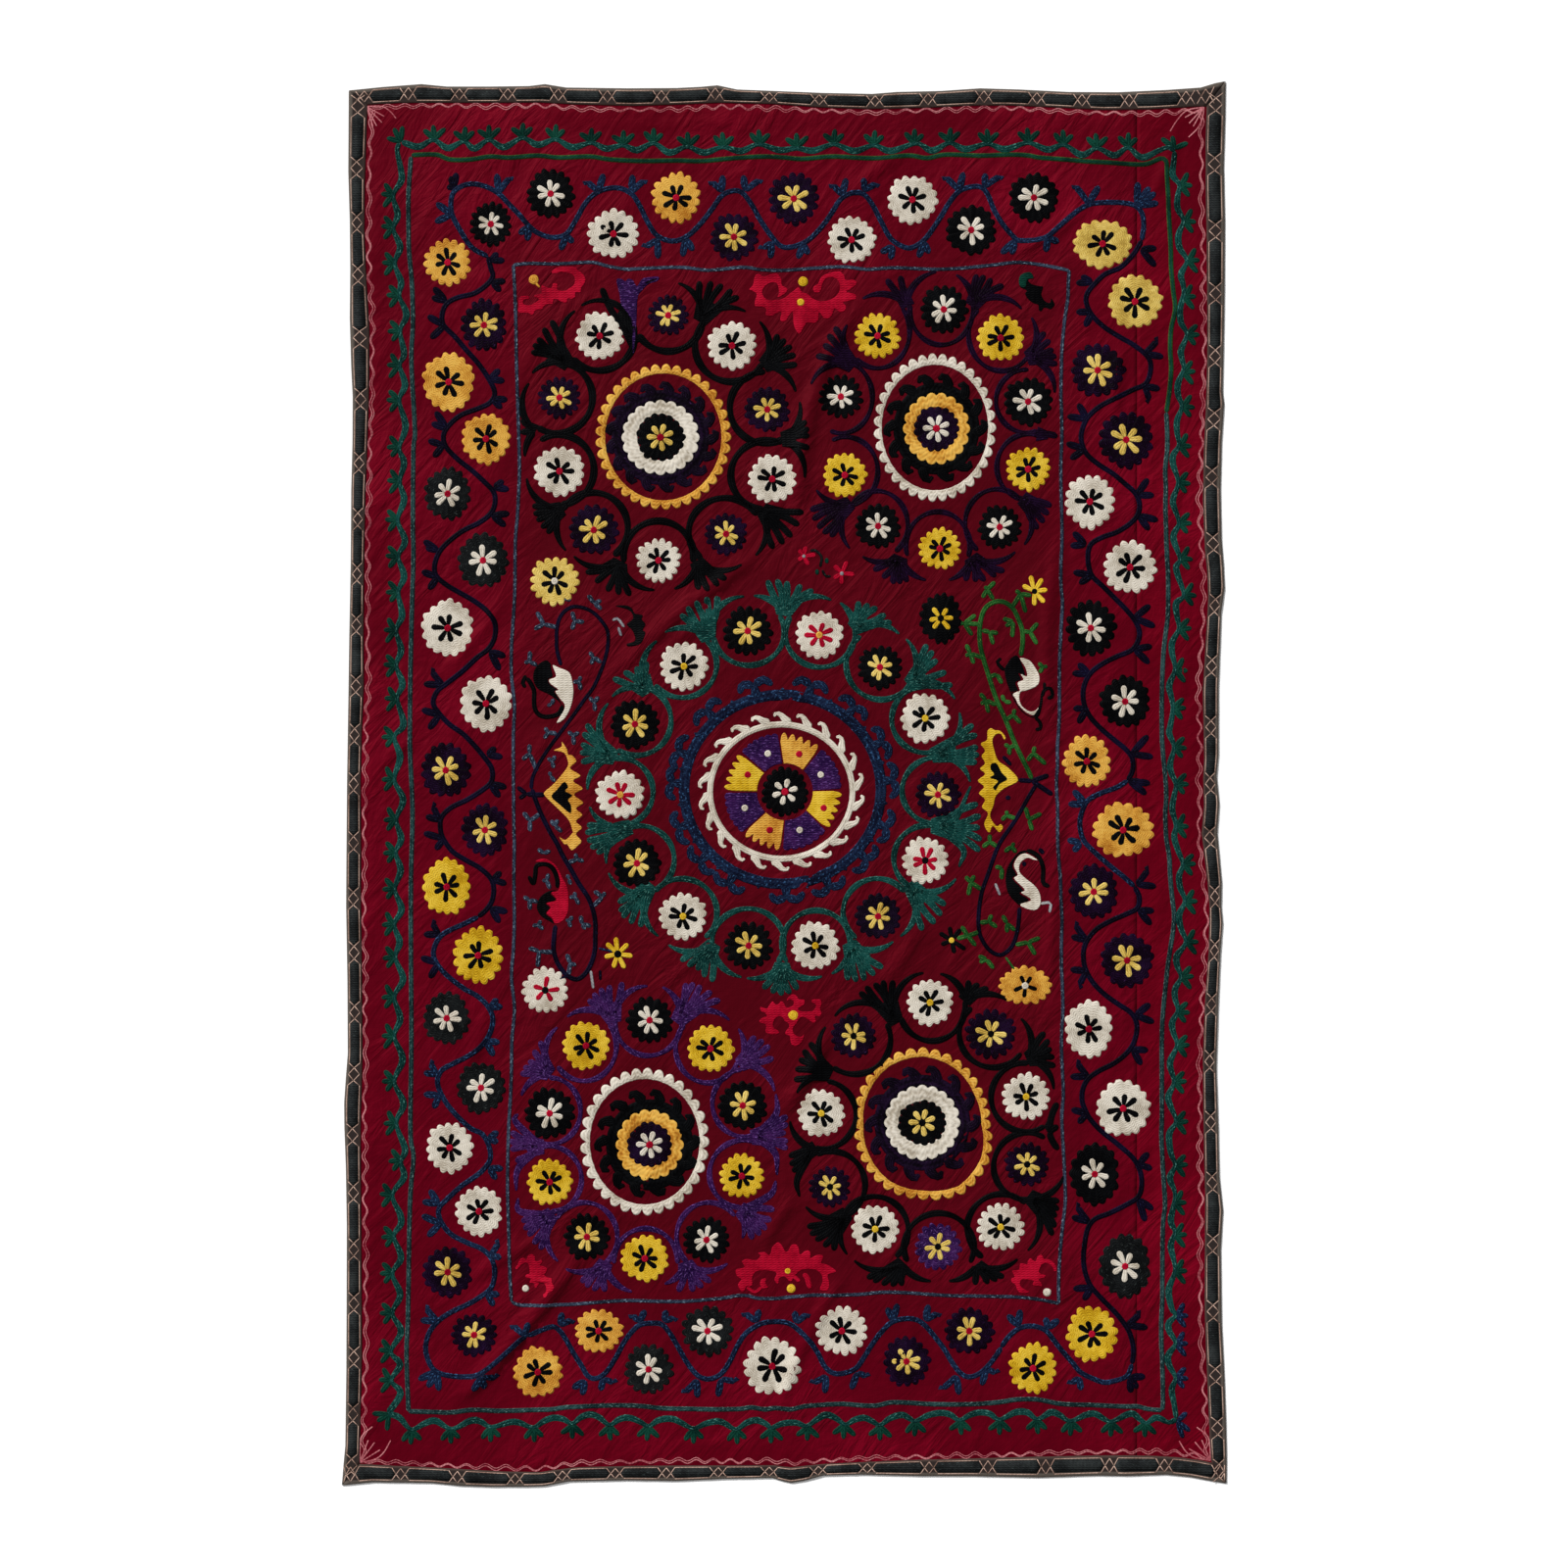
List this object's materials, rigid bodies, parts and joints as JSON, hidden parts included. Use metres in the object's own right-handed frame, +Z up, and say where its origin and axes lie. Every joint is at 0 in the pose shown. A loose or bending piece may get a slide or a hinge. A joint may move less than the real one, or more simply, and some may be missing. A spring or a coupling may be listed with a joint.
{
  "type": "suzani embroidered textile",
  "caption": "Large embroidered wall or bed cover of red satin with rosette medallions and vine borders, edged with a folded woven band, lying flat.",
  "frame": {"origin": "on the floor under the middle of the cloth's outline", "axes": "+X to the right and +Y to the top as the cloth is seen in the picture, +Z up out of its face"},
  "size_m": [1.5144, 2.4062, 0.0106],
  "materials": {
    "crimson_satin": "soft satin",
    "bright_crimson_satin": "soft satin",
    "charcoal_band": "matte woven"
  },
  "bodies": {
    "root": {"wide_cloth": "crimson_satin", "narrow_cloth": "bright_crimson_satin", "top_band": "charcoal_band", "bottom_band": "charcoal_band", "left_band": "charcoal_band", "right_band": "charcoal_band"}
  },
  "joints": []
}
